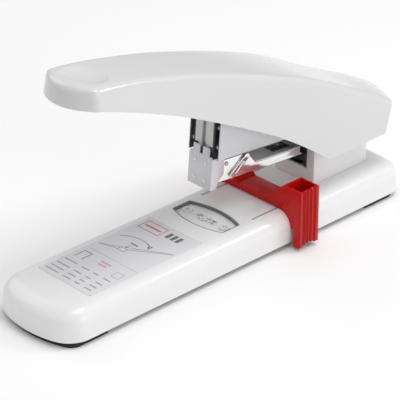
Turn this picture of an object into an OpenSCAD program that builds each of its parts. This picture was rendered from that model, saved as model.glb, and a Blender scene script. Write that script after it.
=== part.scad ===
// Heavy-duty lever stapler, standing on its feet, handle raised.
// X runs across the width, -Y towards the nose, +Z up. The origin is on the table,
// under the middle of the base. Millimetres.

/* [Base] */
// Length of the base
base_l = 276; // [272:1:280]
// Width of the base
base_w = 64; // [62:1:66]
// Height of the base's flat top above the table
base_top = 22.3; // [22:0.1:23]
// Radius of the bowed front and rear ends, seen from above
end_r = 68; // [64:1:72]
// Radius of the vertical corners of the base
corner_r = 9; // [7:0.5:10]
// Radius of the long shoulders of the base
shoulder_r = 10; // [9:0.5:10]
// Height of the rubber feet
foot_h = 3.5; // [3:0.1:4]
// Wall of the moulded shells
wall = 2.2; // [2:0.1:2.4]

/* [Anvil] */
// Distance of the anvil behind the middle of the base
anvil_y = -1.2; // [-2:0.1:0]
// Length of the anvil pocket, across the base
anvil_l = 42; // [41:0.5:43]
// Depth of the anvil plate's face below the base's top
anvil_drop = 1.8; // [1.5:0.1:2]
// Spacing of the two anvil screws
anvil_screw_gap = 31; // [30:0.5:31]

/* [Arm and head] */
// Height of the main pivot above the table
pivot_z = 52; // [51.5:0.5:52.5]
// Distance of the main pivot behind the middle of the base
pivot_y = 103; // [102.5:0.5:103.5]
// Radius of the main pivot pin
pivot_r = 3; // [3:0.1:3.1]
// Nose-up tilt of the arm at rest, in degrees
arm_tilt = 5; // [4.8:0.1:5.2]
// Width of the magazine channel
mag_w = 16.6; // [16.4:0.1:16.8]

/* [Handle] */
// Width of the handle shell at its rear
handle_w_rear = 55; // [54:0.5:56]
// Width of the handle shell at its nose
handle_w_nose = 43; // [42:0.5:44]

/* [Depth stop] */
// Distance of the stop's front face behind the middle of the base
stop_y = 36; // [35:0.5:37]
// Length of the stop along the base
stop_l = 15; // [14:0.5:15]
// Overall width of the stop, grip to grip
stop_w = 81; // [80:0.5:82]
// Height of the grips above the table
stop_top = 39; // [38:0.5:39]

/* [Hidden] */
$fn = 64;
eps = 0.01;      // how far a cutter passes a face
gap = 0.3;       // clearance between parts that move past each other
fit = 0.05;      // running clearance of a pin in its hole

// Base, worked out
half_l = base_l / 2;
half_w = base_w / 2;
shoulder_z = base_top - shoulder_r;
shell_inner_top = base_top - wall;
cover_t = 2;
cover_gap = 0.2;
cover_top = foot_h + cover_t;
foot_inset = 2.4;
foot_start = 104;
boss_x = 23;
boss_y = 112;
boss_r = 3.6;
cover_screw_r = 1.5;
cover_head_r = 2.8;
chassis_w = 37;
chassis_t = 2;
chassis_y0 = -24;
chassis_y1 = 122;
chassis_top = 19.3;
chassis_bottom = chassis_top - chassis_t;
slot_x = 21;
slot_w = 1.6;
slot_y0 = 15.5;
slot_y1 = 71;
label_w = 43.5;
label_l = 85;
label_y = -67.3;
label_t = 0.5;
label_sunk = 0.4;

// Anvil, worked out
anvil_end = 14;                      // width of the pocket at its cut-off ends
anvil_side_r = 53.5;                 // radius of its bowed long sides
anvil_face = base_top - anvil_drop;
pocket_wall = 0.8;
groove_x = 4.3;
groove_y = 0.6;
groove_r = 9;
groove_w = 2.4;
groove_depth = 0.35;
anvil_head_r = 3.15;
anvil_shank_r = 1.9;

// Tower and pivot, worked out across the width
arm_out = 12.4;
arm_t = 1.2;
bracket_in = 12.7;
bracket_t = 1.5;
tower_out = 16;
tower_t = 1.6;
tower_in = tower_out - tower_t;
tower_y0 = 72.3;
tower_y1 = 118.3;
tower_front_top = 48.5;
tower_head_r = 9.5;
lever_in = 16.4;
lever_t = 1.5;
lever_out = lever_in + lever_t;
clip_in = 18.3;
clip_t = 0.9;
pin_half = 20.3;
bracket_head_r = 8;

// Arm, in its own frame: origin at the pivot, magazine level
head_y = -108.7;         // front of the face plate
head_bottom = -17.2;
face_t = 1;
face_top = 3.1;
tab_top = 8;
tab_x = 1.2;
tab_w = 5.2;
mag_bottom = -14;
mag_t = 0.8;
mag_high = -0.8;
mag_low = -9.2;
mag_front = -107.7;
mag_step_y = -79.4;
mag_low_y = -71.4;
mag_rear = -34;
flange_y = -98.8;
face_half = 8.6;
flange_out = 9.4;
rail_w = 12.4;
rail_front = -104.4;
rail_rear = -88;
rail_top = -3.4;
strip_w = 14;
strip_wire = 0.7;
strip_front = -104.6;
strip_rear = -90;
pusher_travel = 12;
rod_r = 1;
rod_z = -11.2;
rod_front = -87.4;
pusher_rear = -84;
arm_plate_front = -106.7;
arm_plate_low = 2;
arm_plate_high = 28;
web_t = 1.5;

// Driver, in the arm's frame
driver_y = -105.2;
blade_t = 0.8;
blade_w = 12.6;
blade_tip = -1.9;
leg_x = 1.7;
leg_w = 5.3;
leg_t = 1.6;
leg_foot = 8.8;
guide_in = 7.3;
guide_back = -101.4;
carrier_z0 = 31;
carrier_z1 = 42.5;
carrier_w = 14;
drive_pin_r = 2.5;
drive_pin_y = -0.6;      // at rest, in the row's frame
drive_pin_z = 98;
slot_near = -107;         // the carrier's slot lets the pin swing on its arc
slot_far = -111.5;
slot_z = 36.8;

// Handle, worked out in the row's frame
nose_y = -112;
nose_r = 30;
handle_rear = 133.5;
handle_rear_r = 66;
handle_wide_y = 60;
web_front = [-5, 113.4];   // middle of the lever's web, front and back, as [y, z]
web_back = [60, 90.2];
boss_h = 6.7;            // reaches into the shell's roof
web_slope = (web_back[1] - web_front[1]) / (web_back[0] - web_front[0]);

// ---------- plane shapes ----------
function arc(cx, cy, r, a0, a1, n = 16) =
    [for (i = [0:n]) let (a = a0 + (a1 - a0) * i / n) [cx + r * cos(a), cy + r * sin(a)]];
function flip(points) = [for (i = [len(points) - 1:-1:0]) [-points[i][0], points[i][1]]];
function turn(points) = [for (p = points) [-p[0], -p[1]]];

// Quarter of the base's outline: the bowed end and its corner, from the middle to the +X side.
function end_quarter(inset) =
    let (r = end_r - inset, c = corner_r - inset, w = half_w - inset, yc = -half_l + end_r,
         cx = w - c, cy = yc - sqrt(pow(r - c, 2) - cx * cx), t = atan2(cy - yc, cx))
    concat(arc(0, yc, r, -90, t, 14), arc(cx, cy, c, t, 0, 8));
function base_outline(inset) =
    let (q = end_quarter(inset), front = concat(flip(q), q))
    concat(front, turn(front));

// Section of the base across its width, z up.
function base_section(inset, bottom) =
    let (w = half_w - inset, r = shoulder_r - inset, cx = half_w - shoulder_r)
    concat([[w, bottom]], arc(cx, shoulder_z, r, 0, 90, 10), flip(arc(cx, shoulder_z, r, 0, 90, 10)),
           [[-w, bottom]]);

// Side view of the base with its rounded end edges, as [y, z].
function base_side(inset, bottom) =
    let (l = half_l - inset, r = 6 - inset, t = base_top - inset)
    concat([[-l, bottom]], arc(-l + r, t - r, r, 180, 90, 6), arc(l - r, t - r, r, 90, 0, 6),
           [[l, bottom]]);

module along_y(points, y0, y1) {
    translate([0, y1, 0]) rotate([90, 0, 0]) linear_extrude(y1 - y0) polygon(points);
}
module across_x(points, half) {
    // points are [y, z]
    rotate([90, 0, 90]) translate([0, 0, -half]) linear_extrude(2 * half) polygon(points);
}
module base_solid(inset, bottom) {
    intersection() {
        along_y(base_section(inset, bottom), -half_l, half_l);
        translate([0, 0, bottom]) linear_extrude(base_top) polygon(base_outline(inset));
        across_x(base_side(inset, bottom), half_w);
    }
}
module slab(inset, z0, z1) {
    translate([0, 0, z0]) linear_extrude(z1 - z0) polygon(base_outline(inset));
}
module bar(x0, x1, y0, y1, z0, z1) {
    translate([x0, y0, z0]) cube([x1 - x0, y1 - y0, z1 - z0]);
}
module post(x, y, z0, z1, r) {
    translate([x, y, z0]) cylinder(h = z1 - z0, r = r);
}
module shaft(y, z, half, r) {
    translate([-half, y, z]) rotate([0, 90, 0]) cylinder(h = 2 * half, r = r);
}
module both_sides() {
    children();
    mirror([1, 0, 0]) children();
}
module in_arm() {
    translate([0, pivot_y, pivot_z]) rotate([-arm_tilt, 0, 0]) children();
}
module corners(x, y) {
    for (sx = [-1, 1], sy = [-1, 1]) translate([sx * x, sy * y, 0]) children();
}

// ---------- base ----------
function anvil_outline(clear) =
    let (r = anvil_side_r, h = anvil_l / 2, a = asin(h / r), c = anvil_end / 2 - r * cos(a))
    concat(arc(0, -c, r - clear, -90 - a, -90 + a, 14), arc(0, c, r - clear, 90 - a, 90 + a, 14));
module anvil_shape(clear, z0, z1) {
    translate([0, anvil_y, z0]) intersection() {
        linear_extrude(z1 - z0) polygon(anvil_outline(clear));
        translate([-anvil_l / 2 + clear, -20, 0]) cube([anvil_l - 2 * clear, 40, z1 - z0]);
    }
}

module base_shell() color("whitesmoke") {
    difference() {
        base_solid(0, foot_h);
        base_solid(wall, foot_h - eps);
        anvil_shape(0, shell_inner_top - 1, base_top + 1);
        translate([-label_w / 2, label_y - label_l / 2, base_top - label_sunk])
            cube([label_w, label_l, 1]);
        both_sides() bar(slot_x - slot_w / 2, slot_x + slot_w / 2, slot_y0, slot_y1, 15, 30);
        bracket_holes(2.3, 15, 30);
    }
    corners(boss_x, boss_y) difference() {
        post(0, 0, cover_top, shell_inner_top + 0.5, boss_r);
        post(0, 0, cover_top - eps, cover_top + 8, cover_screw_r - 0.2);
    }
}
module bracket_holes(r, z0, z1) {
    for (sx = [-1, 1], y = [82, 112]) post(sx * 7, y, z0, z1, r);
}

module bottom_cover() color("lightgray") difference() {
    slab(wall + cover_gap, foot_h, cover_top);
    corners(boss_x, boss_y) post(0, 0, foot_h - 1, cover_top + 1, cover_screw_r + 0.1);
    corners(boss_x, boss_y) post(0, 0, foot_h - 1, foot_h + 1.2, cover_head_r + 0.1);
}

module cover_screws() color("silver") corners(boss_x, boss_y) {
    post(0, 0, foot_h, foot_h + 1.2, cover_head_r);
    post(0, 0, foot_h + 1.2 - eps, cover_top + 6, cover_screw_r - 0.2);
}

module foot(sign) color([0.08, 0.08, 0.09]) {
    difference() {
        intersection() {
            slab(foot_inset, 0, foot_h);
            bar(-half_w, half_w, sign > 0 ? foot_start : -half_l,
                sign > 0 ? half_l : -foot_start, -1, foot_h + 1);
        }
        for (sx = [-1, 1]) post(sx * boss_x, sign * boss_y, -1, foot_h + 1, cover_head_r + 1);
    }
}
module front_foot() foot(-1);
module rear_foot() foot(1);

module chassis_plate() color("gray") difference() {
    bar(-chassis_w / 2, chassis_w / 2, chassis_y0, chassis_y1, chassis_bottom, chassis_top);
    bracket_holes(2.05, 15, 30);
    for (sx = [-1, 1])
        post(sx * anvil_screw_gap / 2, anvil_y, 15, 30, anvil_shank_r + fit);
}

module anvil_pocket() color([0.2, 0.2, 0.22]) difference() {
    anvil_shape(0.1, chassis_top, base_top - 0.1);
    anvil_shape(pocket_wall, chassis_top - 1, base_top + 1);
}

module anvil_plate() color([0.9, 0.9, 0.92]) difference() {
    anvil_shape(pocket_wall + 0.2, chassis_top, anvil_face);
    for (sx = [-1, 1]) translate([sx * anvil_screw_gap / 2, anvil_y, 0]) {
        post(0, 0, 15, 30, anvil_shank_r + fit);
        post(0, 0, anvil_face - 0.2, 30, anvil_head_r + fit);
    }
    for (sx = [-1, 1])
        translate([sx * groove_x, anvil_y + groove_y + groove_w / 2, anvil_face + groove_r - groove_depth])
            rotate([90, 0, 0]) cylinder(h = groove_w, r = groove_r);
}

module anvil_screws() color("silver") for (sx = [-1, 1])
    translate([sx * anvil_screw_gap / 2, anvil_y, 0]) difference() {
        union() {
            post(0, 0, anvil_face - 0.2, anvil_face + 0.9, anvil_head_r);
            post(0, 0, chassis_bottom - 4, anvil_face, anvil_shank_r);
        }
        for (a = [0, 90]) rotate([0, 0, a])
            translate([-1.9, -0.45, anvil_face + 0.2]) cube([3.8, 0.9, 2]);
    }

module label_plate() color([0.8, 0.8, 0.84])
    translate([0, label_y, base_top - label_sunk])
        linear_extrude(label_t) offset(r = 2) square([label_w - 4.4, label_l - 4.4], center = true);

// ---------- tower and pivot ----------
// Side view of a cheek, from the base's top up to a round head at the pivot.
function cheek(y0, y1, front_top, r, bottom) =
    concat([[y1, bottom], [y1, 40]], arc(pivot_y, pivot_z, r, 15, 150, 12),
           [[y0, front_top], [y0, bottom]]);

module tower_housing() color("whitesmoke") difference() {
    union() {
        both_sides() difference() {
            across_x(cheek(tower_y0, tower_y1, tower_front_top, tower_head_r, base_top), tower_out);
            across_x([[0, 0], [200, 0], [200, 90], [0, 90]], tower_in);
        }
        difference() {
            bar(-tower_in - eps, tower_in + eps, tower_y0, tower_y0 + 2, base_top, tower_front_top);
            bar(-10, 10, tower_y0 - 1, tower_y0 + 3, 31, 60);
        }
        bar(-tower_in - eps, tower_in + eps, tower_y1 - 2, tower_y1, base_top, 38);
    }
    shaft(pivot_y, pivot_z, 30, pivot_r + 0.1);
}

module pivot_bracket() color("silver") difference() {
    union() {
        both_sides() difference() {
            across_x(cheek(tower_y0 + 2.4, tower_y1 - 2.4, 44, bracket_head_r, base_top),
                     bracket_in + bracket_t);
            across_x([[0, 0], [200, 0], [200, 90], [0, 90]], bracket_in);
        }
        bar(-bracket_in - eps, bracket_in + eps, tower_y0 + 2.4, tower_y1 - 2.4,
            base_top, base_top + 1.6);
    }
    shaft(pivot_y, pivot_z, 30, pivot_r + fit);
    bracket_holes(2.05, 15, 30);
}

module bracket_screws() color("dimgray") for (sx = [-1, 1], y = [82, 112]) {
    post(sx * 7, y, base_top + 1.6, base_top + 3.6, 3.5);
    post(sx * 7, y, chassis_bottom - 2, base_top + 2, 2);
}

module main_pin() color("silver") difference() {
    shaft(pivot_y, pivot_z, pin_half, pivot_r);
    both_sides() difference() {
        translate([clip_in, pivot_y, pivot_z]) rotate([0, 90, 0]) cylinder(h = clip_t, r = 5);
        shaft(pivot_y, pivot_z, 30, pivot_r - 0.6);
    }
}

module pin_clips() color("dimgray") both_sides()
    translate([clip_in + 0.05, pivot_y, pivot_z]) rotate([0, 90, 0]) difference() {
        cylinder(h = clip_t - 0.1, r = 5.2);
        translate([0, 0, -1]) cylinder(h = 3, r = pivot_r - 0.6);
        translate([-8, -1.8, -1]) cube([8, 3.6, 3]);
    }

// ---------- depth stop ----------
// The base's section grown by a clearance, used to cut the stop's inside.
stop_clear = 0.6;
bridge_top = 26.3;
bridge_half = 11;
grip_in = 26;
grip_wall = 1.4;
stop_bottom = 1.8;
block_top = 28.2;

module depth_stop() color([0.8, 0.08, 0.07]) {
    difference() {
        union() {
            translate([0, stop_y + stop_l, 0]) rotate([90, 0, 0]) linear_extrude(stop_l)
                polygon([[-stop_w / 2, stop_bottom], [-stop_w / 2, stop_top], [-grip_in, stop_top],
                         [-bridge_half, bridge_top], [bridge_half, bridge_top],
                         [grip_in, stop_top], [stop_w / 2, stop_top], [stop_w / 2, stop_bottom]]);
        }
        along_y(base_section(-stop_clear, 0), stop_y - 1, stop_y + stop_l + 1);
        both_sides() bar(half_w - 3, half_w + stop_clear + 2.4, stop_y - 1, stop_y + stop_l + 1, 0, 13);
        both_sides() difference() {
            bar(grip_in + grip_wall, stop_w / 2 - grip_wall, stop_y + grip_wall,
                stop_y + stop_l - grip_wall, 0, stop_top + 1);
            along_y(base_section(-stop_clear - grip_wall, 0), stop_y, stop_y + stop_l);
            bar(0, half_w + stop_clear + 2.4 + grip_wall, stop_y, stop_y + stop_l, 0, 14.2);
        }
    }
    both_sides() bar(slot_x - 0.5, slot_x + 0.5, stop_y + 3, stop_y + 12, shell_inner_top - 2,
                     base_top + 1);
}

module stop_slider() color([0.12, 0.12, 0.13]) difference() {
    union() {
        both_sides() bar(chassis_w / 2 + 0.6, 24.4, stop_y + 1, stop_y + 14,
                         shell_inner_top - 5, shell_inner_top - 2);
        bar(-24.4, 24.4, stop_y + 1, stop_y + 14, shell_inner_top - 6.4, shell_inner_top - 5);
    }
    both_sides() post(slot_x, stop_y + 7.5, 0, 40, 1.05);
}

module stop_screws() color("silver") both_sides() {
    post(slot_x, stop_y + 7.5, shell_inner_top - 8, shell_inner_top - 6.4, 2.2);
    post(slot_x, stop_y + 7.5, shell_inner_top - 7, shell_inner_top - 2, 1);
}

// ---------- arm ----------
module arm_frame() color("gainsboro") in_arm() difference() {
    union() {
        both_sides() difference() {
            across_x(concat([[arm_plate_front, arm_plate_low], [-20, arm_plate_low]],
                            arc(0, 0, 8, -120, 60, 12),
                            [[-14, 13], [-40, 21], [-75, arm_plate_high], [arm_plate_front, arm_plate_high]]),
                     arm_out);
            across_x([[-200, -50], [50, -50], [50, 60], [-200, 60]], arm_out - arm_t);
        }
        bar(-arm_out, arm_out, -94, -75, arm_plate_high - web_t, arm_plate_high);
    }
    shaft(0, 0, 30, 4 + fit);
}

module arm_bushes() color("goldenrod") in_arm() both_sides() difference() {
    translate([arm_out - arm_t - 2, 0, 0]) rotate([0, 90, 0]) union() {
        cylinder(h = 2, r = 5.5);
        cylinder(h = 2 + arm_t, r = 4);
    }
    shaft(0, 0, 30, pivot_r + fit);
}

module face_plate() color("silver") in_arm() {
    bar(-face_half - eps, face_half + eps, head_y, head_y + face_t, head_bottom, face_top);
    both_sides() bar(tab_x, tab_x + tab_w, head_y + 0.1, head_y + face_t, face_top - eps, tab_top);
    difference() {
        across_x([[head_y, head_bottom], [head_y + 4.5, head_bottom],
                  [head_y + 6, head_bottom + 4.6], [flange_y, head_bottom + 8],
                  [flange_y, face_top - 1], [head_y, face_top - 1]], flange_out);
        bar(-face_half, face_half, head_y - 1, 0, head_bottom - 1, face_top + 1);
    }
}

module face_rivets() color("silver") in_arm() for (sx = [-1, 1], z = [-12.4, -1.6])
    translate([sx * 4.2, head_y, z]) rotate([90, 0, 0]) cylinder(h = 0.3, r = 0.9);

module driver_guide() color([0.13, 0.13, 0.14]) in_arm() {
    both_sides() bar(guide_in, guide_in + 1, -106.9, guide_back, mag_high, arm_plate_high);
    bar(-guide_in - 1, guide_in + 1, guide_back, guide_back + 1.2, mag_high, arm_plate_high);
}
// Spacers that carry the guide and the magazine between the arm's plates.
module guide_spacers() color("silver") in_arm() both_sides() for (z = [9, 21])
    translate([guide_in + 1, -103.6, z]) rotate([0, 90, 0])
        cylinder(h = arm_out - arm_t - guide_in - 1, r = 2);

// U channel with a tall front for the staples and a low bar behind.
function mag_side() = [
    [mag_front, mag_bottom], [mag_rear + 3, mag_bottom], [mag_rear, mag_bottom + 2],
    [mag_rear, mag_low], [mag_low_y, mag_low], [mag_step_y, mag_high], [mag_front, mag_high]
];
module magazine_channel() color("silver") in_arm() {
    difference() {
        across_x(mag_side(), mag_w / 2);
        bar(-mag_w / 2 + mag_t, mag_w / 2 - mag_t, -120, mag_rear - mag_t,
            mag_bottom + mag_t, 20);
        bar(-mag_w / 2 + mag_t, mag_w / 2 - mag_t, -120, rail_front, mag_bottom - 1, 20);
    }
}
module magazine_cover() color("white") in_arm() difference() {
    bar(-mag_w / 2, mag_w / 2, mag_low_y, mag_rear, mag_low, mag_low + 0.8);
    bar(-4.3, 4.3, -53, -37, mag_low - 1, mag_low + 2);
}
module magazine_rivets() color("silver") in_arm() both_sides()
    for (y = [-96, -84]) translate([mag_w / 2, y, -3.5]) rotate([0, 90, 0])
        cylinder(h = 0.4, r = 1.4);

module staple_rail() color("gray") in_arm() difference() {
    bar(-rail_w / 2, rail_w / 2, rail_front, rail_rear, mag_bottom + mag_t, rail_top);
    bar(-rail_w / 2 + 0.8, rail_w / 2 - 0.8, -110, -50, mag_bottom + mag_t - eps, rail_top - 0.8);
}
module staple_strip() color([0.78, 0.76, 0.7]) in_arm() difference() {
    bar(-strip_w / 2, strip_w / 2, strip_front, strip_rear, -12.2, rail_top + 0.05 + strip_wire);
    bar(-strip_w / 2 + strip_wire, strip_w / 2 - strip_wire, -120, -50, -13, rail_top + 0.05);
}
module pusher_rod() color("silver") in_arm() {
    translate([0, mag_rear - mag_t, rod_z]) rotate([90, 0, 0])
        cylinder(h = mag_rear - mag_t - rod_front, r = rod_r);
}
module pusher() color([0.15, 0.15, 0.16]) in_arm() difference() {
    bar(-strip_w / 2, strip_w / 2, strip_rear + 0.1, pusher_rear, -12.6, -1.6);
    bar(-rail_w / 2 - 0.2, rail_w / 2 + 0.2, -120, rail_rear + 0.3, -14, rail_top + 0.2);
    translate([0, -60, rod_z]) rotate([90, 0, 0]) cylinder(h = 50, r = rod_r + fit);
}
module pusher_spring() color("silver") in_arm() for (i = [0:14])
    translate([0, pusher_rear + 0.5 + 3.2 * i, rod_z]) rotate([90, 0, 0]) rotate_extrude($fn = 32)
        translate([1.5, 0]) circle(r = 0.25, $fn = 16);

module release_latch() color("silver") in_arm() difference() {
    across_x(concat(arc(-91.5, -13.4 + 2, 2, 150, 330, 8), arc(-80.5, -2.5, 2, -30, 150, 8)), 9.8);
    across_x([[-200, -50], [50, -50], [50, 60], [-200, 60]], 9.0);
    mirror([1, 0, 0]) translate([0, -200, -60]) cube([40, 400, 120]);
    translate([0, -91.5, -11.4]) rotate([0, 90, 0]) cylinder(h = 30, r = 0.9 + fit);
    translate([0, -86.6, -7.6]) rotate([45, 0, 0]) translate([0, -4.2, -0.6]) cube([30, 8.4, 1.2]);
}
module latch_pin() color("dimgray") in_arm() translate([mag_w / 2, -91.5, -11.4])
    rotate([0, 90, 0]) union() {
        cylinder(h = 1.9, r = 0.9);
        translate([0, 0, 1.55]) cylinder(h = 0.5, r = 1.5);
    }

// ---------- driver ----------
module driver_blade() color("silver") in_arm()
    bar(-blade_w / 2, blade_w / 2, driver_y - blade_t / 2, driver_y + blade_t / 2, blade_tip, carrier_z0 + 1.5);
module driver_carrier() color("gray") in_arm() {
    both_sides() bar(leg_x, leg_x + leg_w, driver_y - blade_t / 2 - leg_t, driver_y - blade_t / 2,
                     leg_foot, carrier_z0 + 1);
    difference() {
        bar(-carrier_w / 2, carrier_w / 2, driver_y - 9.4, driver_y + 3.4, carrier_z0, carrier_z1);
        for (y = [slot_near, slot_far]) shaft(y, slot_z, 30, drive_pin_r + 0.25);
        bar(-30, 30, slot_far, slot_near, slot_z - drive_pin_r - 0.25, slot_z + drive_pin_r + 0.25);
        bar(-blade_w / 2 - eps, blade_w / 2 + eps, driver_y - blade_t / 2, driver_y + blade_t / 2,
            carrier_z0 - 1, carrier_z0 + 1.5);
    }
}
module driver_rivets() color("silver") in_arm() both_sides() for (z = [16, 26])
    translate([leg_x + leg_w / 2, driver_y + blade_t / 2 + 0.3, z]) rotate([90, 0, 0])
        cylinder(h = 0.3, r = 1.1);

// ---------- handle ----------
// Side view of the handle, as [y, z]: the top line, then the underside.
handle_top = [[-100, 144.8], [-86, 142.6], [-70, 139.8], [-55, 136.9], [-37, 132.8], [-6, 123.4],
              [30, 110.6], [64, 96], [97, 79], [118, 67.5]];
handle_low = [[134, 42.5], [73, 43.2], [58, 54.4], [41, 65.8], [24.7, 75.6], [-6, 91.4],
              [-40, 107.8], [-69, 118.9], [-101.5, 129.6]];
function lift(points, dz) = [for (p = points) [p[0], p[1] + dz]];
function handle_side(drop, front, rear) =
    concat([[nose_y + front, 131.5 - drop], [nose_y + front, 138 - drop], [-107 + front, 143 - drop]],
           lift(handle_top, -drop), [[131 - rear, 62 - drop], [134 - rear, 57 - drop]]);
function handle_plan(inset) =
    let (wn = handle_w_nose / 2 - inset, wr = handle_w_rear / 2 - inset, r = nose_r - inset,
         a = asin(wn / r), rr = handle_rear_r - inset, b = asin(wr / rr),
         half = concat(arc(0, nose_y + nose_r, r, -90, -90 + a, 10), [[wr, handle_wide_y]],
                       arc(0, handle_rear - handle_rear_r, rr, 90 - b, 90, 8)))
    concat(half, [for (i = [len(half) - 2:-1:1]) [-half[i][0], half[i][1]]]);
module handle_solid(inset, low) {
    intersection() {
        across_x(concat(handle_side(inset, inset, inset), lift(handle_low, low)), 40);
        translate([0, 0, 20]) linear_extrude(150) polygon(handle_plan(inset));
    }
}
module handle_shell() color([0.9, 0.9, 0.91]) difference() {
    union() {
        difference() {
            handle_solid(0, 0);
            handle_solid(wall, -8);
        }
        at_lever_screws() translate([0, 0, 0.75]) cylinder(h = boss_h, r = 4);
    }
    at_lever_screws() cylinder(h = 7, r = 1.5 + eps);
    pad_shape(13.2, 0.9, 20);
}
// The four screws stand square to the lever's web.
module at_lever_screws() {
    for (y = [10, 48]) both_sides()
        translate([9, y, web_front[1] + (y - web_front[0]) * web_slope]) rotate([atan(web_slope), 0, 0])
            children();
}
// Round seat near the nose, square to the handle's top there.
module pad_shape(r, sink, h) {
    translate([0, -92, 143.6]) rotate([-9, 0, 0]) translate([0, 0, -sink]) cylinder(h = h, r = r);
}
module thumb_pad() color([0.82, 0.82, 0.85]) pad_shape(13, 0.9, 0.7);

// Steel channel under the handle's top, straddling the tower.
lever_low = [[109, 47], [98, 47], [70, 62], [20, 87], [-6, 93.6]];
lever_high = [[108, 62], [97, 72], [64, 90.5], [30, 105], [-6, 116]];
module inner_lever() color("silver") difference() {
    union() {
        both_sides() difference() {
            across_x(concat(lever_high, [for (i = [len(lever_low) - 1:-1:0]) lever_low[i]]), lever_out);
            across_x([[-200, 0], [200, 0], [200, 200], [-200, 200]], lever_in);
        }
        across_x([[web_front[0], web_front[1] - web_t / 2], [web_back[0], web_back[1] - web_t / 2],
                  [web_back[0], web_back[1] + web_t / 2], [web_front[0], web_front[1] + web_t / 2]],
                 lever_in + eps);
    }
    at_lever_screws() translate([0, 0, -3]) cylinder(h = 6, r = 1.6);
    shaft(pivot_y, pivot_z, 30, 4.2 + fit);
    shaft(drive_pin_y, drive_pin_z, 30, drive_pin_r);
}
module lever_bushes() color("goldenrod") both_sides() difference() {
    translate([lever_in, pivot_y, pivot_z]) rotate([0, 90, 0]) cylinder(h = lever_t, r = 4.2);
    shaft(pivot_y, pivot_z, 30, pivot_r + fit);
}
module drive_pin() color("silver") shaft(drive_pin_y, drive_pin_z, lever_out + 0.6, drive_pin_r - 0.01);
module lever_screws() color("dimgray") at_lever_screws() {
    translate([0, 0, -0.8]) cylinder(h = 7.5, r = 1.5);
    translate([0, 0, -2.5]) cylinder(h = 1.7, r = 3);
}

// Coil round the pivot pin between the arm's plates, with a leg down and a leg forward.
module return_spring() color("dimgray") {
    both_sides() for (i = [0:3]) translate([2 + 1.8 * i, pivot_y, pivot_z]) rotate([0, 90, 0])
        rotate_extrude($fn = 32) translate([4.6, 0]) circle(r = 0.8, $fn = 16);
    both_sides() bar(1.4, 2.8, pivot_y - 5.2, pivot_y - 4, base_top + 2, pivot_z);
}

base_shell();
bottom_cover();
chassis_plate();
front_foot();
rear_foot();
cover_screws();
anvil_pocket();
anvil_plate();
anvil_screws();
label_plate();
tower_housing();
pivot_bracket();
bracket_screws();
main_pin();
pin_clips();
depth_stop();
stop_slider();
stop_screws();
arm_frame();
arm_bushes();
face_plate();
face_rivets();
driver_guide();
guide_spacers();
magazine_channel();
magazine_cover();
magazine_rivets();
staple_rail();
staple_strip();
pusher();
pusher_rod();
pusher_spring();
release_latch();
latch_pin();
driver_carrier();
driver_blade();
driver_rivets();
handle_shell();
thumb_pad();
inner_lever();
drive_pin();
lever_screws();
lever_bushes();
return_spring();
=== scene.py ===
"""A long-lever desk stapler: its looks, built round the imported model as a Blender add-on."""
import math

import bmesh
import bpy
from bpy.props import FloatProperty, FloatVectorProperty, PointerProperty
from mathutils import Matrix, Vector


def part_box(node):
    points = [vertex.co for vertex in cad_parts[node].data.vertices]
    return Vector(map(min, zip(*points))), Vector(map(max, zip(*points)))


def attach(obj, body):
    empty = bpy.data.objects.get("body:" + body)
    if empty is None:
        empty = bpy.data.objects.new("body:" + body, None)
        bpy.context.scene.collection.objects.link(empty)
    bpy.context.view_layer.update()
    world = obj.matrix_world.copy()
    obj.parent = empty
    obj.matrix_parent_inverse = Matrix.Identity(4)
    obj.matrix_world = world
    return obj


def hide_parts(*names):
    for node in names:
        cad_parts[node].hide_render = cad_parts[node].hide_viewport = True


bl_info = {
    "name": "Stapler",
    "version": (1, 0, 0),
    "blender": (4, 5, 0),
    "location": "3D View > Sidebar > Stapler",
    "description": "Builds a desk stapler's shells, steel parts and print round its frame",
    "category": "Add Mesh",
}

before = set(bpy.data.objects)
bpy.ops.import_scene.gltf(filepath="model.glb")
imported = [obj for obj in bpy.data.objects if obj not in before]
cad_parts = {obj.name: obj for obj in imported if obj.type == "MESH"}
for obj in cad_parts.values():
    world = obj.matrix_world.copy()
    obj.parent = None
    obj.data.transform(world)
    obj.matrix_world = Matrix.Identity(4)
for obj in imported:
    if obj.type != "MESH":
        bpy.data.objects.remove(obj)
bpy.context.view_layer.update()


# ---------- sizes and colours ----------
def length(name, description, default):
    return FloatProperty(name=name, description=description, default=default, unit="LENGTH", precision=4)


def colour(name, description, default):
    return FloatVectorProperty(
        name=name, description=description, default=default, subtype="COLOR", size=3, min=0, max=1
    )


class StaplerSizes(bpy.types.PropertyGroup):
    handle_round: length("Handle edge", "Radius along the handle's upper edges", 0.0032)
    handle_wall: length("Handle wall", "Thickness of the handle's shell", 0.0022)
    handle_crown: length("Handle crown", "How far the handle's top rises over its rear edges", 0.006)
    dish_radius: length("Thumb dish", "Radius of the hollow in the handle's nose", 0.0132)
    dish_depth: length("Thumb dish depth", "Depth of the hollow in the handle's nose", 0.0021)
    base_round: length("Base shoulder", "Radius along the base's upper edges", 0.0088)
    nose_slope: length("Nose slope", "How much longer the base's shoulder is at its nose", 0.0095)
    base_corner: length("Base corner", "Radius of the base's upright corners", 0.010)
    steel_edge: length("Sheet edge", "Radius on the edges of the sheet steel parts", 0.00025)
    moulded_edge: length("Moulded edge", "Radius on the edges of the small mouldings", 0.0006)


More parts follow.
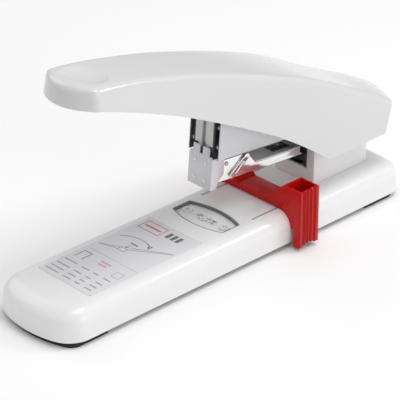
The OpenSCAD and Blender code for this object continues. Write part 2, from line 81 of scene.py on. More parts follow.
class StaplerColours(bpy.types.PropertyGroup):
    base: colour("Base", "The base's and the tower's plastic", (0.86, 0.86, 0.86))
    handle: colour("Handle", "The handle's plastic", (0.70, 0.70, 0.705))
    stop: colour("Depth stop", "The depth stop's plastic", (0.6, 0.004, 0.002))
    label: colour("Label", "The label's film", (0.76, 0.75, 0.79))
    ink: colour("Ink", "The label's dark print", (0.05, 0.05, 0.06))
    ink_red: colour("Red ink", "The label's red print", (0.55, 0.05, 0.06))
    steel: colour("Steel", "Pressed steel", (0.60, 0.60, 0.62))
    paint: colour("Head paint", "The arm's and the face plate's paint", (0.70, 0.70, 0.73))
    black: colour("Black", "Black plastic", (0.016, 0.016, 0.018))
    floor: colour("Floor", "The floor under the stapler", (0.97, 0.97, 0.97))


# ---------- modelling, as by hand ----------
MM = 0.001


def mm(*values):
    return Vector(v * MM for v in values)


def put_down():
    """Leaves edit mode with nothing selected."""
    if bpy.context.object and bpy.context.object.mode != "OBJECT":
        bpy.ops.object.mode_set(mode="OBJECT")
    bpy.ops.object.select_all(action="DESELECT")


def hold(piece):
    put_down()
    piece.select_set(True)
    bpy.context.view_layer.objects.active = piece


def edit(piece, kind="VERT"):
    hold(piece)
    bpy.ops.object.mode_set(mode="EDIT")
    bpy.ops.mesh.select_mode(type=kind)
    bpy.ops.mesh.select_all(action="DESELECT")


def pick(piece, test, kind="VERT"):
    """Selects exactly the vertices, edges or faces that pass the test."""
    bpy.ops.mesh.select_mode(type=kind)
    bpy.ops.mesh.select_all(action="DESELECT")
    mesh = bmesh.from_edit_mesh(piece.data)
    found = [e for e in {"VERT": mesh.verts, "EDGE": mesh.edges, "FACE": mesh.faces}[kind] if test(e)]
    for element in found:
        element.select_set(True)
    mesh.select_flush_mode()
    bmesh.update_edit_mesh(piece.data)
    return len(found)


def block(name, low, high):
    """A box between two corners in millimetres."""
    put_down()
    low, high = mm(*low), mm(*high)
    bpy.ops.mesh.primitive_cube_add(size=1, location=(low + high) / 2, scale=high - low)
    return settle(name)


def rod(name, centre, radius, depth, axis="Z", vertices=48):
    """A cylinder round a point in millimetres."""
    put_down()
    turn = {"X": (0, math.pi / 2, 0), "Y": (math.pi / 2, 0, 0), "Z": (0, 0, 0)}[axis]
    bpy.ops.mesh.primitive_cylinder_add(
        vertices=vertices, radius=radius * MM, depth=depth * MM, location=mm(*centre), rotation=turn
    )
    return settle(name)


def settle(name):
    """Names the new piece and puts its place into its mesh."""
    piece = bpy.context.object
    piece.name = piece.data.name = name
    bpy.ops.object.transform_apply(location=True, rotation=True, scale=True)
    return piece


def slice_up(piece, axis, places):
    """Cuts edges across the piece at each place along an axis, in millimetres."""
    edit(piece)
    normal = [float(i == axis) for i in range(3)]
    for place in places:
        bpy.ops.mesh.select_all(action="SELECT")
        bpy.ops.mesh.bisect(plane_co=[place * MM * n for n in normal], plane_no=normal)


def shift(piece, test, by):
    """Moves the vertices that pass the test, by millimetres."""
    if pick(piece, test):
        bpy.ops.transform.translate(value=mm(*by))


def modify(piece, kind, **settings):
    """Adds a modifier and applies it."""
    hold(piece)
    modifier = piece.modifiers.new(kind.title(), kind)
    for key, value in settings.items():
        setattr(modifier, key, value)
    bpy.ops.object.modifier_apply(modifier=modifier.name)


def carve(piece, cutter, operation="DIFFERENCE"):
    modify(piece, "BOOLEAN", object=cutter, operation=operation, solver="EXACT")
    bpy.data.objects.remove(cutter)


def soften(piece, width, segments=2, angle=30):
    modify(
        piece, "BEVEL", width=width, segments=segments, limit_method="ANGLE",
        angle_limit=math.radians(angle), miter_outer="MITER_ARC",
    )


def smooth(piece, angle=35):
    hold(piece)
    bpy.ops.object.shade_smooth_by_angle(angle=math.radians(angle))


def copy_of(node, name):
    """A piece of its own in a CAD node's shape, merged and with flat faces in one."""
    put_down()
    piece = bpy.data.objects.new(name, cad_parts[node].data.copy())
    piece.data.name = name
    piece.data.materials.clear()
    bpy.context.scene.collection.objects.link(piece)
    edit(piece)
    bpy.ops.mesh.select_all(action="SELECT")
    bpy.ops.mesh.remove_doubles(threshold=0.000005)
    bpy.ops.mesh.dissolve_limited(angle_limit=math.radians(0.4))
    put_down()
    return piece


def hand_over(piece, body, material, slot, *nodes):
    """The finished piece gets its material and body, and stands for its CAD nodes; the slot argument is not
    used.
    """
    put_down()
    piece.data.materials.clear()
    piece.data.materials.append(material)
    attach(piece, body)
    if nodes:
        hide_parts(*nodes)


def along(points, place):
    """The height of a line through points, smooth between them, at a place."""
    if place <= points[0][0]:
        return points[0][1]
    for i in range(len(points) - 1):
        (x0, y0), (x1, y1) = points[i], points[i + 1]
        if place <= x1:
            before = points[max(i - 1, 0)]
            after = points[min(i + 2, len(points) - 1)]
            m0 = (y1 - before[1]) / (x1 - before[0]) * (x1 - x0)
            m1 = (after[1] - y0) / (after[0] - x0) * (x1 - x0)
            t = (place - x0) / (x1 - x0)
            return (
                (2 * t**3 - 3 * t**2 + 1) * y0 + (t**3 - 2 * t**2 + t) * m0
                + (3 * t**2 - 2 * t**3) * y1 + (t**3 - t**2) * m1
            )
    return points[-1][1]


# ---------- materials ----------
FINE_GRAIN = 2600  # scale of the grain that a moulding's skin has


class Wire:
    """A socket whose arithmetic adds Math nodes."""

    def __init__(self, bench, socket):
        self.bench = bench
        self.socket = socket

    def calc(self, operation, *values, clamp=False):
        return self.bench.add("ShaderNodeMath", {"operation": operation, "use_clamp": clamp}, values)

    def __add__(self, other):
        return self.calc("ADD", self, other)

    def __sub__(self, other):
        return self.calc("SUBTRACT", self, other)

    def __rsub__(self, other):
        return self.calc("SUBTRACT", other, self)

    def __mul__(self, other):
        return self.calc("MULTIPLY", self, other)

    def __truediv__(self, other):
        return self.calc("DIVIDE", self, other)

    def __gt__(self, other):
        return self.calc("GREATER_THAN", self, other)

    def __lt__(self, other):
        return self.calc("LESS_THAN", self, other)

    def __or__(self, other):
        return self.calc("MAXIMUM", self, other)

    def __abs__(self):
        return self.calc("ABSOLUTE", self)

    def held(self):
        """The value kept between 0 and 1."""
        return self.calc("ADD", self, 0.0, clamp=True)

    __radd__ = __add__
    __rmul__ = __mul__


class Bench:
    """One material's nodes."""

    def __init__(self, name):
        self.material = bpy.data.materials.new(name)
        self.material.use_nodes = True
        self.nodes = self.material.node_tree.nodes
        self.links = self.material.node_tree.links
        self.shader = self.nodes["Principled BSDF"]

    def add(self, kind, settings=None, inputs=(), output=0):
        """A node of a kind: its settings first, then the values or wires of its sockets."""
        node = self.nodes.new(kind)
        for key, value in (settings or {}).items():
            if key == "stops":
                ramp = node.color_ramp
                while len(ramp.elements) < len(value):
                    ramp.elements.new(0.5)
                for element, (place, tone) in zip(ramp.elements, value):
                    element.position = place
                    element.color = (tone, tone, tone, 1)
            else:
                setattr(node, key, value)
        for key, value in inputs.items() if isinstance(inputs, dict) else enumerate(inputs):
            self.feed(node.inputs[key], value)
        return Wire(self, node.outputs[output])

    def feed(self, socket, value):
        if isinstance(value, Wire):
            self.links.new(value.socket, socket)
        else:
            socket.default_value = value

    def place(self, stretch=(1, 1, 1)):
        """Object coordinates, stretched."""
        spot = self.add("ShaderNodeTexCoord", output="Object")
        return self.add("ShaderNodeMapping", inputs={"Vector": spot, "Scale": stretch})

    def across_and_along(self):
        """Object coordinates across and along the stapler, in millimetres."""
        spot = self.add("ShaderNodeTexCoord", output="Object")
        across = self.add("ShaderNodeSeparateXYZ", inputs=[spot])
        along_it = Wire(self, across.socket.node.outputs["Y"])
        return across * 1000, along_it * 1000

    def noise(self, spot, scale, detail=2.0, roughness=0.5):
        return self.add(
            "ShaderNodeTexNoise",
            inputs={"Vector": spot, "Scale": scale, "Detail": detail, "Roughness": roughness},
        )

    def blend(self, amount, first, second):
        """Two colours mixed."""
        first, second = (v if isinstance(v, Wire) else (*v, 1) for v in (first, second))
        return self.add("ShaderNodeMix", {"data_type": "RGBA"}, {0: amount, 6: first, 7: second}, 2)

    def bump(self, height, depth, strength=1.0, under=None):
        inputs = {"Height": height, "Distance": depth, "Strength": strength}
        if under:
            inputs["Normal"] = under
        return self.add("ShaderNodeBump", inputs=inputs)

    def finish(self, colour, roughness, normal=None, **constants):
        self.feed(self.shader.inputs["Base Color"], colour)
        self.feed(self.shader.inputs["Roughness"], roughness)
        if normal:
            self.feed(self.shader.inputs["Normal"], normal)
        for key, value in constants.items():
            self.shader.inputs[key.replace("_", " ")].default_value = value
        return self.material


def dim(colour, by):
    return tuple(c * by for c in colour)


def moulded(name, tint, rough=0.3, grain=0.000012, spread=0.06, coat=0.0):
    """Moulded plastic: faint flow in its tone, a fine grain and an uneven gloss."""
    b = Bench(name)
    spot = b.place()
    flow = b.noise(spot, 14, 3)
    fine = b.noise(spot, FINE_GRAIN, 2)
    scuff = b.noise(b.place((60, 900, 400)), 1.0, 4, 0.6)
    tone = b.blend(flow.held(), dim(tint, 1 - spread), tint)
    gloss = rough - 0.04 + flow * 0.05 + (scuff > 0.66) * 0.03
    return b.finish(tone, gloss, b.bump(fine, grain), Coat_Weight=coat, Coat_Roughness=0.06, IOR=1.5)


def rolled(name, tint, rough=0.3, stretch=(30, 1400, 1400), depth=0.000006, spread=0.12, metal=1.0):
    """Sheet steel: fine lines along the way it was rolled, and soft cloudy patches."""
    b = Bench(name)
    lines = b.noise(b.place(stretch), 1.0, 5, 0.65)
    cloud = b.noise(b.place(), 90, 3)
    tone = b.blend((lines * 0.6 + cloud * 0.4).held(), dim(tint, 1 - spread), tint)
    gloss = rough - 0.05 + lines * 0.07 + cloud * 0.05
    return b.finish(tone, gloss, b.bump(lines, depth), Metallic=metal)


def painted(name, tint, rough=0.36):
    """Painted steel: orange peel, and paint worn thin where patches have rubbed."""
    b = Bench(name)
    peel = b.noise(b.place(), 900, 2)
    cloud = b.noise(b.place(), 45, 4, 0.6)
    tone = b.blend(cloud.held(), dim(tint, 0.93), tint)
    return b.finish(tone, rough - 0.05 + cloud * 0.12, b.bump(peel, 0.00001), Metallic=0.25)


def stop_plastic(name, tint):
    """Glossy moulded plastic, with painted shade inside the hollow grips and along the bottoms of the flutes.
    """
    b = Bench(name)
    x, y = b.across_and_along()
    x = abs(x)
    flow = b.noise(b.place(), 14, 3)
    fine = b.noise(b.place(), FINE_GRAIN, 2)
    # Painted shade: the insides of the hollow grips are darkened nearly black, where shade falls.
    inside = (abs(x - 33.25) < 5.8) * (abs(y - 43.5) < 6.05)
    # Painted shade: the bottoms of the flutes are darkened, where shade falls in the grooves.
    flute_shade = ((39.95 - x) * 1.6).held() * (x > 39.05)
    tone = b.blend(flow.held(), dim(tint, 0.8), tint)
    tone = b.blend(inside * 0.72, tone, dim(tint, 0.08))
    tone = b.blend(flute_shade * 0.6, tone, dim(tint, 0.2))
    return b.finish(
        tone, 0.2 + flow * 0.06 + inside * 0.2, b.bump(fine, 0.000008),
        Coat_Weight=0.1, Coat_Roughness=0.06, IOR=1.5, Specular_IOR_Level=0.2,
    )


def paint_shaded_within(name, tint, inner, half):
    """Painted steel, with painted shade: the faces nearer the middle than half, in millimetres, are darkened
    to the inner tone.
    """
    b = Bench(name)
    side = abs(b.across_and_along()[0])
    peel = b.noise(b.place(), 900, 2)
    cloud = b.noise(b.place(), 45, 4, 0.6)
    # Painted shade: the cheeks' inner faces are darkened nearly black, where shade falls between them.
    shade_within = side < half
    tone = b.blend(cloud.held(), dim(tint, 0.93), tint)
    tone = b.blend(shade_within * (0.85 + cloud * 0.15), tone, inner)
    return b.finish(tone, 0.33 + cloud * 0.12 + shade_within * 0.1, b.bump(peel, 0.00001), Metallic=0.2)


def anvil_face(name, tint):
    """Bright plate steel, dulled where staples have been closed on it."""
    b = Bench(name)
    x, y = b.across_and_along()
    lines = b.noise(b.place((1200, 40, 1200)), 1.0, 5, 0.65)
    cloud = b.noise(b.place((1, 2.2, 1)), 420, 4, 0.62)
    near = (1 - abs(x) / 9.5).held() * (1 - abs(y + 1.2) / 3.4).held()
    worn = (near * 4).held() * (cloud > 0.53) * 0.8
    tone = b.blend((lines * 0.5).held(), tint, dim(tint, 0.9))
    tone = b.blend(worn, tone, (0.1, 0.1, 0.1))
    return b.finish(tone, 0.36 + lines * 0.08 + worn * 0.15, b.bump(lines, 0.000002), Metallic=0.05)


def rubber(name, tint):
    b = Bench(name)
    grit = b.noise(b.place(), 1800, 3)
    cloud = b.noise(b.place(), 60, 3)
    tone = b.blend(cloud.held(), tint, dim(tint, 1.9))
    return b.finish(tone, 0.62 + cloud * 0.2, b.bump(grit, 0.00004))


def floor_paint(name, tint):
    b = Bench(name)
    cloud = b.noise(b.place(), 2, 3)
    return b.finish(b.blend(cloud.held(), dim(tint, 0.985), tint), 0.75 + cloud * 0.05)


class Print:
    """Marks on the label, as masks of its plane in millimetres."""

    def __init__(self, bench):
        self.x, self.y = bench.across_and_along()

    def box(self, x0, x1, y0, y1):
        return (
            (abs(self.x - (x0 + x1) / 2) < (x1 - x0) / 2) * (abs(self.y - (y0 + y1) / 2) < (y1 - y0) / 2)
        )

    def frame(self, x0, x1, y0, y1, w):
        return self.box(x0, x1, y0, y1) - self.box(x0 + w, x1 - w, y0 + w, y1 - w)

    def stroke(self, ax, ay, bx, by, w):
        dx, dy = bx - ax, by - ay
        px, py = self.x - ax, self.y - ay
        t = ((px * dx + py * dy) / (dx * dx + dy * dy)).held()
        qx, qy = px - t * dx, py - t * dy
        return (qx * qx + qy * qy) < (w / 2) ** 2

    def bow(self, cx, cy, radius, w, y0, x0, x1):
        """An arc above y0 between x0 and x1."""
        px, py = self.x - cx, self.y - cy
        far = px.calc("SQRT", px * px + py * py)
        return (abs(far - radius) < w / 2) * (self.y > y0) * (abs(self.x - (x0 + x1) / 2) < (x1 - x0) / 2)

    def words(self, x0, x1, y, high=1.1):
        """A row of small strokes with gaps, like printing too small to read."""
        gaps = self.x.calc("SINE", self.x * 9) > -0.35
        return self.box(x0, x1, y - high / 2, y + high / 2) * gaps


def label_print(name, film, ink, red):
    """The label's film with its generic drawing, table and marks."""
    b = Bench(name)
    p = Print(b)
    dark = p.bow(-4.5, -66, 19, 0.55, -52.5, -17.5, 3.8)
    strokes = [
        (3.4, -49.4, 5.4, -51.6, 0.7), (5.4, -51.6, 5.6, -48.6, 0.7), (3.4, -49.4, 5.6, -48.8, 0.7),
        (-19.2, -66.7, -6, -60.4, 0.4), (-19.2, -66.7, -7.4, -63.4, 0.4), (-2, -57.8, 19.9, -45.6, 0.4),
        (-2, -60.2, 19.9, -46.4, 0.4), (-4.6, -56.2, -4.6, -59.2, 0.5), (-4.6, -59.6, -3.6, -58.2, 0.5),
        (-4.6, -59.6, -5.6, -58.2, 0.5), (-18, -86, -18, -78, 0.6), (-18, -78, -12, -78, 0.6),
        (-12, -78, -12, -86, 0.6),
    ]
    for s in strokes:
        dark = dark | p.stroke(*s)
    dark = dark | p.frame(-7.4, -1.8, -63.8, -60.2, 0.35)
    dark = dark | p.box(-6.6, -0.6, -54.3, -53.2)
    for x0, x1 in ((1.2, 3.8), (5.2, 7.8), (9.2, 11.8)):
        dark = dark | p.box(x0, x1, -35.4, -29.4)
    for y in (-105.4, -101.5, -97.2, -91.5):
        for x0, x1 in ((-20, -9.5), (-5.5, 0.5), (4, 8), (12.5, 18)):
            dark = dark | p.words(x0, x1, y)
    faint = p.stroke(-18, -74, 21, -74, 0.35) | p.frame(13, 19, -87, -81, 0.5)
    scarlet = p.frame(-19, -2.2, -37.6, -28, 0.7) | p.box(-17, -4.2, -33.6, -32)
    scarlet = scarlet | p.words(-2.7, 5.7, -79.6, 1.6) | p.words(-1.6, 4.6, -82.6, 1.6)
    fade = b.noise(b.place(), 25, 2)
    tone = b.blend(fade.held(), dim(film, 0.97), film)
    tone = b.blend(faint * 0.45, tone, ink)
    tone = b.blend(dark * 0.85, tone, ink)
    tone = b.blend(scarlet * 0.8, tone, red)
    grit = b.noise(b.place(), 3000, 2)
    return b.finish(tone, 0.42 + fade * 0.08, b.bump(grit, 0.000006))


def colours():
    return bpy.context.scene.stapler_colours


def sizes():
    return bpy.context.scene.stapler_sizes


def material(name):
    """The material of a name, made the first time it is asked for."""
    if "finish_" + name in bpy.data.materials:
        return bpy.data.materials["finish_" + name]
    c = colours()
    makers = {
        "shell_white": lambda n: moulded(n, tuple(c.base), 0.26, spread=0.03, coat=0.2),
        "handle_grey": lambda n: moulded(n, tuple(c.handle), 0.2, spread=0.03, coat=0.4),
        "cover_grey": lambda n: moulded(n, (0.42, 0.42, 0.44), 0.5, 0.00002),
        "pocket_grey": lambda n: moulded(n, (0.2, 0.2, 0.2), 0.45, 0.00002),
        # The depth stop's material carries painted shade in its grips and along its flutes.
        "stop_red": lambda n: stop_plastic(n, tuple(c.stop)),
        "black_plastic": lambda n: moulded(n, tuple(c.black), 0.42, 0.00002, 0.3),
        "foot_rubber": lambda n: rubber(n, (0.007, 0.007, 0.008)),
        "label_film": lambda n: label_print(n, tuple(c.label), tuple(c.ink), tuple(c.ink_red)),
        "pressed_steel": lambda n: rolled(n, tuple(c.steel), 0.36),
        "polished_steel": lambda n: rolled(
            n, (0.9, 0.9, 0.91), 0.17, depth=0.000002, spread=0.05, metal=0.85
        ),
        "anvil_steel": lambda n: anvil_face(n, (0.9, 0.9, 0.9)),
        "screw_steel": lambda n: rolled(n, (0.74, 0.74, 0.75), 0.24, stretch=(900, 900, 900)),
        "driver_steel": lambda n: painted(n, (0.62, 0.62, 0.6), 0.5),
        "dark_steel": lambda n: painted(n, (0.035, 0.035, 0.04), 0.42),
        "spring_wire": lambda n: rolled(n, (0.4, 0.4, 0.42), 0.3, stretch=(500, 500, 500)),
        "anvil_bright": lambda n: painted(n, (0.85, 0.85, 0.85), 0.4),
        "head_paint": lambda n: painted(n, tuple(c.paint)),
        # The arm's inner faces get painted shade, near black.
        "arm_paint": lambda n: paint_shaded_within(n, tuple(c.paint), (0.03, 0.03, 0.032), 11.9),
        "staple_wire": lambda n: rolled(n, (0.72, 0.71, 0.68), 0.3, stretch=(60, 2600, 60), depth=0.00004),
        "bronze": lambda n: rolled(n, (0.62, 0.42, 0.2), 0.35, stretch=(900, 900, 900)),
        "floor_paint": lambda n: floor_paint(n, tuple(c.floor)),
    }
    return makers[name]("finish_" + name)


# ---------- the pieces ----------
# The handle's side view, as (y, z) in millimetres: its upper edges and its lower edges.
HANDLE_TOP = [
    (-112, 142), (-100, 141.9), (-90, 141), (-79.6, 139.6), (-69, 137.8),
    (-51.4, 134), (-30.2, 128.8), (-1.2, 120.2), (10, 116.7), (38.7, 106.8),
    (69.8, 94.3), (103, 77), (117.4, 69.3), (128, 62.8), (134, 58.8),
]
HANDLE_LOW = [
    (-112, 130.6), (-101.5, 130.2), (-91.6, 127.5), (-80, 123.5), (-63.7, 117.5),
    (-40, 107.8), (-6, 91.4), (24.7, 75.6), (41, 65.8), (58, 54.4), (73, 43.2),
]
# Half the handle's width along its upper edges, as (y, x).
HANDLE_HALF = [
    (-112, 20.2), (-70, 20.3), (-50, 21.2), (-30, 22.5), (0, 24.3), (38, 26.3), (62, 27.5), (134, 27.5),
]
HANDLE_NOSE_BOW, HANDLE_NOSE_START = 29.5, -84  # radius of the bowed nose, and where the bowing starts
HANDLE_REAR_BOW, HANDLE_REAR_START = 66, 97
BASE_NOSE_BOW, BASE_REAR_BOW = 68, 150
GROOVES = (2.6, 5.3, 8.2, 11.4)  # where the grips' flutes run, behind their front edge


def bow(radius, x):
    """How far an arc has fallen back at a distance from its middle."""
    return radius - math.sqrt(radius**2 - x * x)


class MESH_OT_stapler_handle(bpy.types.Operator):
    """Builds the handle's shell with the thumb dish in its nose"""

    bl_idname = "mesh.stapler_handle"
    bl_label = "Handle"

    def execute(self, context):
        s = sizes()
        low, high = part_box("handle_shell")
        rear, nose = high.y / MM, low.y / MM + 1.2
        piece = block("handle_cover", (-1, nose, 0), (1, rear, 1))
        rows = [nose, -103, -95, -86, -78, -70, -62, -55, -46, -37, -27, -17, -6, 6, 18, 30, 41,
                52, 58, 64, 73, 82, 90, 97, 104, 111, 118, 126, rear]
        slice_up(piece, 1, rows[1:-1])
        columns = [k / 6 for k in range(-4, 5)]
        slice_up(piece, 0, columns)
        for y in rows:
            ahead = max(0, (HANDLE_NOSE_START - y) / (HANDLE_NOSE_START - nose))
            behind = max(0, (y - HANDLE_REAR_START) / (rear - HANDLE_REAR_START))
            for c in [-1] + columns + [1]:
                for upper in (False, True):
                    half = along(HANDLE_HALF, y) if upper else 21.9 + 5.6 * min(max((y + 103) / 163, 0), 1)
                    place = y + bow(HANDLE_NOSE_BOW, c * half) * ahead
                    place -= bow(HANDLE_REAR_BOW, c * half) * behind
                    if upper:
                        place += 2.6 * ahead + 1.8 * behind
                        dome = 0.3 + 6.2 * min(max((place - 72) / 58, 0), 1) ** 1.5
                        z = along(HANDLE_TOP, place) + s.handle_crown / 0.006 * dome * (1 - c * c)
                    else:
                        place -= 3.2 * behind
                        z = along(HANDLE_LOW, place) + 0.4 * behind
                    here = mm(c, y, float(upper))
                    there = mm(c * half, place, z)
                    shift(piece, lambda v: (v.co - here).length < 1e-5, there / MM - here / MM)
        pick(
            piece,
            lambda e: len(e.link_faces) == 2
            and e.calc_face_angle() > math.radians(36)
            and not any(f.normal.z < -0.5 for f in e.link_faces),
            "EDGE",
        )
        bpy.ops.mesh.bevel(offset=s.handle_round, segments=7, profile=0.5, affect="EDGES")
        pick(piece, lambda f: f.normal.z < -0.5, "FACE")
        bpy.ops.mesh.delete(type="FACE")
        modify(piece, "SOLIDIFY", thickness=s.handle_wall, offset=-1)
        # A pad under the roof takes the thumb dish, which a lens-shaped tool sinks into it.
        tilt = math.radians(-6.2)
        middle = mm(0, -90.5, 141.3)
        radius = s.dish_radius / MM
        carve(piece, tilted("dish_seat", middle - mm(0, 0, 3.4), radius + 0.8, 3.6, tilt), "UNION")
        put_down()
        ball = 1.16 * s.dish_radius
        bpy.ops.mesh.primitive_uv_sphere_add(segments=96, ring_count=96, radius=ball)
        lens = bpy.context.object
        lens.scale = (1.12, 1, 0.3)
        lens.rotation_euler = (tilt, 0, 0)
        lens.location = middle + Vector((0, 0, 0.3 * ball - s.dish_depth))
        carve(piece, settle("dish_tool"))
        edit(piece)
        bpy.ops.mesh.select_all(action="SELECT")
        bpy.ops.mesh.remove_doubles(threshold=0.00001)
        smooth(piece, 21)
        hand_over(piece, "handle", material("handle_grey"), "handle_plastic", "handle_shell", "thumb_pad")
        return {"FINISHED"}


def tilted(name, centre, radius, depth, tilt):
    """A disc round a point, leaning about the X axis."""
    put_down()
    bpy.ops.mesh.primitive_cylinder_add(
        vertices=96, radius=radius * MM, depth=depth * MM, location=centre, rotation=(tilt, 0, 0)
    )
    return settle(name)


class MESH_OT_stapler_base(bpy.types.Operator):
    """Builds the base's shell with its bowed ends, shoulders, slots and recesses"""

    bl_idname = "mesh.stapler_base"
    bl_label = "Base"

    def execute(self, context):
        s = sizes()
        low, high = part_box("base_shell")
        half, end, bottom, top = high.x / MM, high.y / MM, low.z / MM, high.z / MM
        rise = s.base_round / MM
        # The plan: a sheet with bowed ends and rounded corners, pulled up to the shoulder.
        put_down()
        bpy.ops.mesh.primitive_plane_add(size=1, location=mm(0, 0, bottom))
        piece = bpy.context.object
        piece.scale = mm(2 * half, 2 * end, 1 / MM)
        settle("base_cover")
        columns = [half * k / 8 for k in range(-5, 6)]
        slice_up(piece, 0, columns)
        for x in [-half] + columns + [half]:
            for sign in (-1, 1):
                shift(piece, lambda v: abs(v.co.x / MM - x) < 0.01 and v.co.y * sign > (end - 1) * MM,
                      (0, -sign * bow(BASE_NOSE_BOW if sign < 0 else BASE_REAR_BOW, x), 0))
        corner = end - bow(BASE_NOSE_BOW, half)
        pick(piece, lambda v: abs(v.co.x) > (half - 0.01) * MM and abs(v.co.y) > (corner - 0.1) * MM)
        bpy.ops.mesh.bevel(offset=s.base_corner, segments=10, affect="VERTICES")
        bpy.ops.mesh.select_all(action="SELECT")
        bpy.ops.mesh.dissolve_faces()
        pick(piece, lambda f: True, "FACE")
        bpy.ops.mesh.extrude_region_move(TRANSFORM_OT_translate={"value": mm(0, 0, top - rise - bottom)})
        # Rings of the shoulder: each a step up and in.
        steps = 10
        for k in range(steps):
            turn, after = math.pi / 2 * k / steps, math.pi / 2 * (k + 1) / steps
            into = rise * (math.cos(turn) - math.cos(after))
            climb = rise * (math.sin(after) - math.sin(turn))
            bpy.ops.mesh.inset(thickness=into * MM, depth=0, use_even_offset=True)
            bpy.ops.transform.translate(value=mm(0, 0, climb))
        # The nose, and less so the rear, slopes further back than the sides, more so the higher up.
        mesh = bmesh.from_edit_mesh(piece.data)
        for v in mesh.verts:
            up = max((v.co.z / MM - top + rise) / rise, 0)
            share = max((abs(v.co.y) / MM - 100) / (end - 100), 0) ** 2
            slope = s.nose_slope * (1 if v.co.y < 0 else 0.4)
            v.co.y -= math.copysign(slope * (1 - math.sqrt(max(1 - up * up, 0))) * share, v.co.y)
        bmesh.update_edit_mesh(piece.data)
        pick(piece, lambda f: f.normal.z < -0.9 or (f.calc_center_median().z < (bottom + 0.01) * MM), "FACE")
        bpy.ops.mesh.delete(type="FACE")
        bpy.ops.mesh.select_all(action="SELECT")
        bpy.ops.mesh.normals_make_consistent(inside=False)
        modify(piece, "SOLIDIFY", thickness=0.0022, offset=-1)
        label_low, label_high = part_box("label_plate")
        carve(piece, block("label_tool", (label_low.x / MM - 0.15, label_low.y / MM - 0.15, top - 0.4),
                           (label_high.x / MM + 0.15, label_high.y / MM + 0.15, top + 1)))
        for sign in (-1, 1):
            carve(piece, block("slot_tool", (sign * 21 - 0.8, 15.5, top - 5), (sign * 21 + 0.8, 71, top + 1)))
        carve(piece, anvil_lens("anvil_tool", 0, top - 4, top + 1))
        smooth(piece, 32)
        hand_over(piece, "frame_root", material("shell_white"), "white_plastic", "base_shell")
        return {"FINISHED"}


def anvil_lens(name, clear, low, high):
    """The anvil's outline as a solid: two bowed sides with cut-off ends."""
    r, centre = 53.5 - clear, 7 - math.sqrt(53.5**2 - 21**2)
    piece = rod(name, (0, -1.2 - centre, (low + high) / 2), r, high - low, vertices=256)
    carve(piece, rod("lens_other", (0, -1.2 + centre, (low + high) / 2), r, (high - low) * 2, vertices=256),
          "INTERSECT")
    carve(piece, block("lens_ends", (-21 + clear, -30, low - 1), (21 - clear, 30, high + 1)), "INTERSECT")
    return piece


class MESH_OT_stapler_label(bpy.types.Operator):
    """Builds the printed label"""

    bl_idname = "mesh.stapler_label"
    bl_label = "Label"

    def execute(self, context):
        low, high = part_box("label_plate")
        piece = block("label_sheet", low / MM, high / MM)
        edit(piece)
        pick(piece, lambda e: abs(e.verts[0].co.z - e.verts[1].co.z) > 0.0001, "EDGE")
        bpy.ops.mesh.bevel(offset=0.002, segments=8, affect="EDGES")
        soften(piece, 0.0001, 2, 60)
        smooth(piece)
        hand_over(piece, "frame_root", material("label_film"), "label_film", "label_plate")
        return {"FINISHED"}


class MESH_OT_stapler_stop(bpy.types.Operator):
    """Builds the depth stop with ribbed, hollow grips"""

    bl_idname = "mesh.stapler_stop"
    bl_label = "Depth stop"

    def execute(self, context):
        piece = copy_of("depth_stop", "stop_body")
        low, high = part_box("depth_stop")
        y0, y1, out = low.y / MM, high.y / MM, high.x / MM
        for sign in (-1, 1):
            for groove in GROOVES:
                middle = (sign * (out + 0.1), y0 + groove, 20)
                carve(piece, rod("flute_tool", middle, 1.15, 60, vertices=32))
            carve(piece, rod("dot_tool", (sign * 25.9, y0, 26.6), 0.5, 0.8, "Y", 24))
            carve(piece, rod("arch_tool", (sign * out, (y0 + y1) / 2, -17.4), 21.5, 3, "X", 96))
        soften(piece, 0.00035, 3, 35)
        smooth(piece)
        hand_over(piece, "stop", material("stop_red"), "red_plastic", "depth_stop")
        return {"FINISHED"}


SOFT_STEEL = {
    "arm_frame": ("arm_cheeks", "arm", "arm_paint", "grey_paint"),
    "face_plate": ("head_face", "arm", "head_paint", "grey_paint"),
    "magazine_channel": ("magazine_sheet", "arm", "polished_steel", "polished_steel"),
    "release_latch": ("latch_loop", "latch", "polished_steel", "polished_steel"),
    "driver_carrier": ("driver_legs", "driver", "driver_steel", "plain_steel"),
    "driver_blade": ("driver_sheet", "driver", "pressed_steel", "plain_steel"),
    "driver_guide": ("guide_sheet", "arm", "dark_steel", "dark_steel"),
    "inner_lever": ("lever_sheet", "handle", "pressed_steel", "plain_steel"),
    "pivot_bracket": ("bracket_sheet", "frame_root", "pressed_steel", "plain_steel"),
    "anvil_plate": ("anvil_face", "frame_root", "anvil_steel", "polished_steel"),
}
SOFT_MOULDINGS = {
    "tower_housing": ("tower_cover", "frame_root", "shell_white", "white_plastic"),
    "magazine_cover": ("magazine_lid", "arm", "shell_white", "white_plastic"),
    "bottom_cover": ("bottom_panel", "frame_root", "cover_grey", "grey_plastic"),
    "front_foot": ("nose_foot", "frame_root", "foot_rubber", "foot_rubber"),
    "rear_foot": ("tail_foot", "frame_root", "foot_rubber", "foot_rubber"),
    "pusher": ("pusher_block", "pusher", "black_plastic", "dark_plastic"),
}


class MESH_OT_stapler_steel(bpy.types.Operator):
    """Gives the sheet steel parts rounded edges"""

    bl_idname = "mesh.stapler_steel"
    bl_label = "Sheet steel"

    def execute(self, context):
        for node, (name, body, finish, slot) in SOFT_STEEL.items():
            piece = copy_of(node, name)
            soften(piece, sizes().steel_edge)
            smooth(piece)
            hand_over(piece, body, material(finish), slot, node)
        return {"FINISHED"}


class MESH_OT_stapler_mouldings(bpy.types.Operator):
    """Gives the small mouldings and the feet rounded edges"""

    bl_idname = "mesh.stapler_mouldings"
    bl_label = "Mouldings"

    def execute(self, context):
        for node, (name, body, finish, slot) in SOFT_MOULDINGS.items():
            piece = copy_of(node, name)
            soften(piece, min(sizes().moulded_edge, 0.0002 if node == "magazine_cover" else 1), 3)
            smooth(piece)
            hand_over(piece, body, material(finish), slot, node)
        return {"FINISHED"}


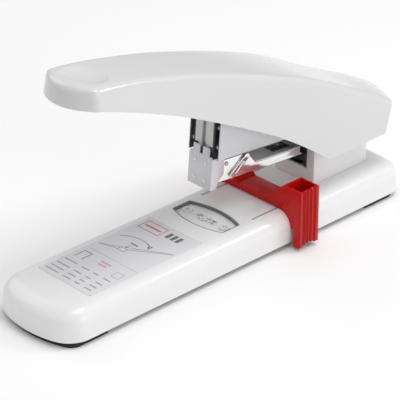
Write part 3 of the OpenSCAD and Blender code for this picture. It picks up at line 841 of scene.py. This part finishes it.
CARRIED = {
    "chassis_plate": "pressed_steel", "cover_screws": "screw_steel", "anvil_pocket": "pocket_grey",
    "anvil_screws": "anvil_bright", "bracket_screws": "dark_steel", "main_pin": "screw_steel",
    "pin_clips": "dark_steel", "return_spring": "spring_wire", "stop_slider": "black_plastic",
    "stop_screws": "screw_steel", "arm_bushes": "bronze", "face_rivets": "screw_steel",
    "guide_spacers": "pressed_steel", "magazine_rivets": "screw_steel", "staple_rail": "dark_steel",
    "staple_strip": "staple_wire", "pusher_rod": "screw_steel", "pusher_spring": "dark_steel",
    "latch_pin": "screw_steel", "driver_rivets": "screw_steel", "drive_pin": "screw_steel",
    "lever_screws": "dark_steel", "lever_bushes": "bronze",
}


class MESH_OT_stapler_carried(bpy.types.Operator):
    """Gives the parts that keep their shape their materials"""

    bl_idname = "mesh.stapler_carried"
    bl_label = "Screws, pins and springs"

    def execute(self, context):
        for node, finish in CARRIED.items():
            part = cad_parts[node]
            part.data.materials.clear()
            part.data.materials.append(material(finish))
        return {"FINISHED"}


# ---------- the stage ----------
class SCENE_OT_stapler_stage(bpy.types.Operator):
    """Sets the floor, the lights and the camera"""

    bl_idname = "scene.stapler_stage"
    bl_label = "Stage"

    def execute(self, context):
        put_down()
        bpy.ops.mesh.primitive_plane_add(size=8)
        floor = bpy.context.object
        floor.name = "floor"
        floor.data.materials.append(material("floor_paint"))
        world = bpy.data.worlds.new("studio")
        context.scene.world = world
        world.use_nodes = True
        world.node_tree.nodes["Background"].inputs["Color"].default_value = (1, 1, 1, 1)
        world.node_tree.nodes["Background"].inputs["Strength"].default_value = 0.5
        context.scene.view_settings.view_transform = "Standard"
        for name, place, size, power in (
            ("softbox_top", (0.3, 0.15, 1.45), 0.9, 9.3),
            ("softbox_right", (1.5, 0.1, 0.5), 0.7, 3.5),
            ("softbox_left", (-1.2, -0.2, 1), 0.9, 3),
            ("softbox_edge", (0.7, 0.92, 0.96), 0.22, 2.6),
        ):
            put_down()
            bpy.ops.object.light_add(type="AREA", location=place)
            lamp = bpy.context.object
            lamp.name = name
            lamp.data.size = size
            lamp.data.energy = power
            lamp.rotation_euler = (-Vector(place) + Vector((0, 0, 0.05))).to_track_quat("-Z", "Y").to_euler()
        aim = mm(3.353, -9, 37.292)
        back = Vector((0.6366, -0.6107, 0.4709)).normalized()
        bpy.ops.object.camera_add(location=aim + back * 1.28403)
        camera = bpy.context.object
        camera.rotation_euler = back.to_track_quat("Z", "Y").to_euler()
        camera.data.sensor_width = 36
        camera.data.lens = 201.7
        context.scene.camera = camera
        put_down()
        return {"FINISHED"}


PIECES = (
    MESH_OT_stapler_handle,
    MESH_OT_stapler_base,
    MESH_OT_stapler_label,
    MESH_OT_stapler_stop,
    MESH_OT_stapler_steel,
    MESH_OT_stapler_mouldings,
    MESH_OT_stapler_carried,
)


class VIEW3D_PT_stapler(bpy.types.Panel):
    """Lists the stapler's pieces and settings"""

    bl_label = "Stapler"
    bl_idname = "VIEW3D_PT_stapler"
    bl_space_type = "VIEW_3D"
    bl_region_type = "UI"
    bl_category = "Stapler"

    def draw(self, context):
        for settings in (context.scene.stapler_sizes, context.scene.stapler_colours):
            for key in settings.bl_rna.properties.keys():
                if key not in ("rna_type", "name"):
                    self.layout.prop(settings, key)
        for operator in PIECES + (SCENE_OT_stapler_stage,):
            self.layout.operator(operator.bl_idname)


CLASSES = (StaplerSizes, StaplerColours) + PIECES + (SCENE_OT_stapler_stage, VIEW3D_PT_stapler)


def register():
    for cls in CLASSES:
        bpy.utils.register_class(cls)
    bpy.types.Scene.stapler_sizes = PointerProperty(type=StaplerSizes)
    bpy.types.Scene.stapler_colours = PointerProperty(type=StaplerColours)


def unregister():
    del bpy.types.Scene.stapler_colours
    del bpy.types.Scene.stapler_sizes
    for cls in reversed(CLASSES):
        bpy.utils.unregister_class(cls)


def main():
    register()
    bpy.ops.scene.stapler_stage()
    bpy.ops.mesh.stapler_handle()
    bpy.ops.mesh.stapler_base()
    bpy.ops.mesh.stapler_label()
    bpy.ops.mesh.stapler_stop()
    bpy.ops.mesh.stapler_steel()
    bpy.ops.mesh.stapler_mouldings()
    bpy.ops.mesh.stapler_carried()


if __name__ == "__main__":
    main()
